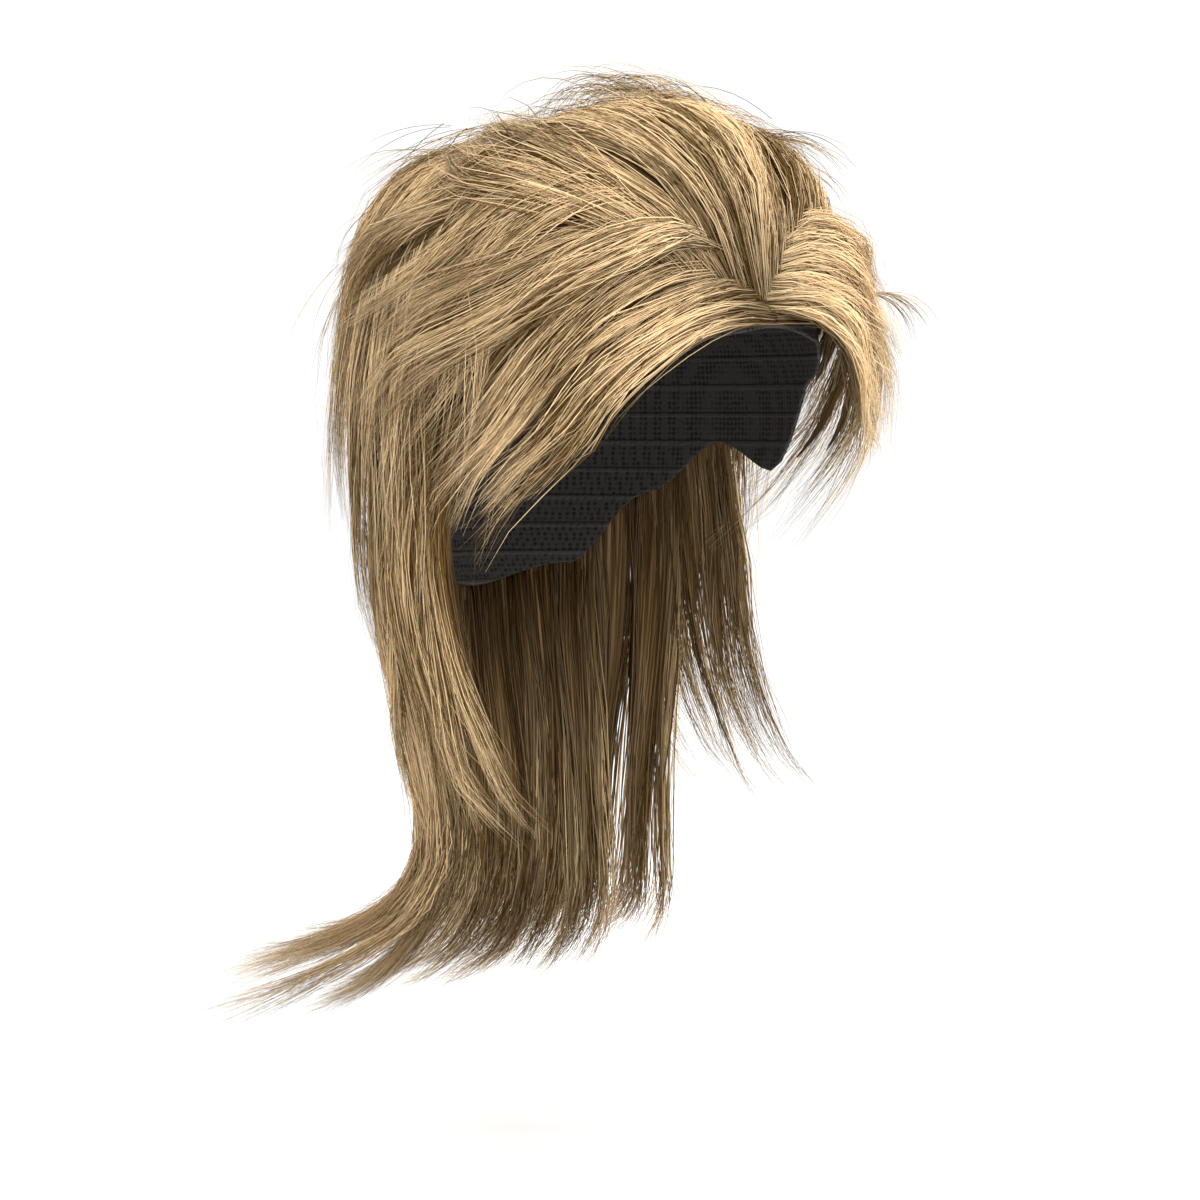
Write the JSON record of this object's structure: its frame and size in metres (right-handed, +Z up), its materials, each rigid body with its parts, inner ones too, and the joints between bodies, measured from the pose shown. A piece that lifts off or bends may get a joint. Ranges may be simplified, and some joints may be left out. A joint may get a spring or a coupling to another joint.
{
  "type": "mullet wig",
  "caption": "Mullet wig: stretch cap with feathered, lifted front and side hair and long back hair whose ends flick out.",
  "frame": {"origin": "the point inside the cap that rests on the crown of the wearer's head", "axes": "+Z up, -Y the way the wearer faces, +X towards the wearer's left ear"},
  "size_m": [0.2439, 0.2996, 0.3931],
  "materials": {
    "cap_net": "black elastic net, matte",
    "hair": "ash blond synthetic hair, soft sheen"
  },
  "bodies": {
    "root": {"wig_cap": "cap_net", "nape_hair": "hair", "back_hair": "hair", "ear_hair_right": "hair", "ear_hair_left": "hair", "shoulder_hair": "hair", "crown_hair": "hair", "fringe_right": "hair", "fringe_left": "hair", "bangs_left": "hair", "side_right": "hair", "side_left": "hair", "top_hair": "hair"}
  },
  "joints": []
}
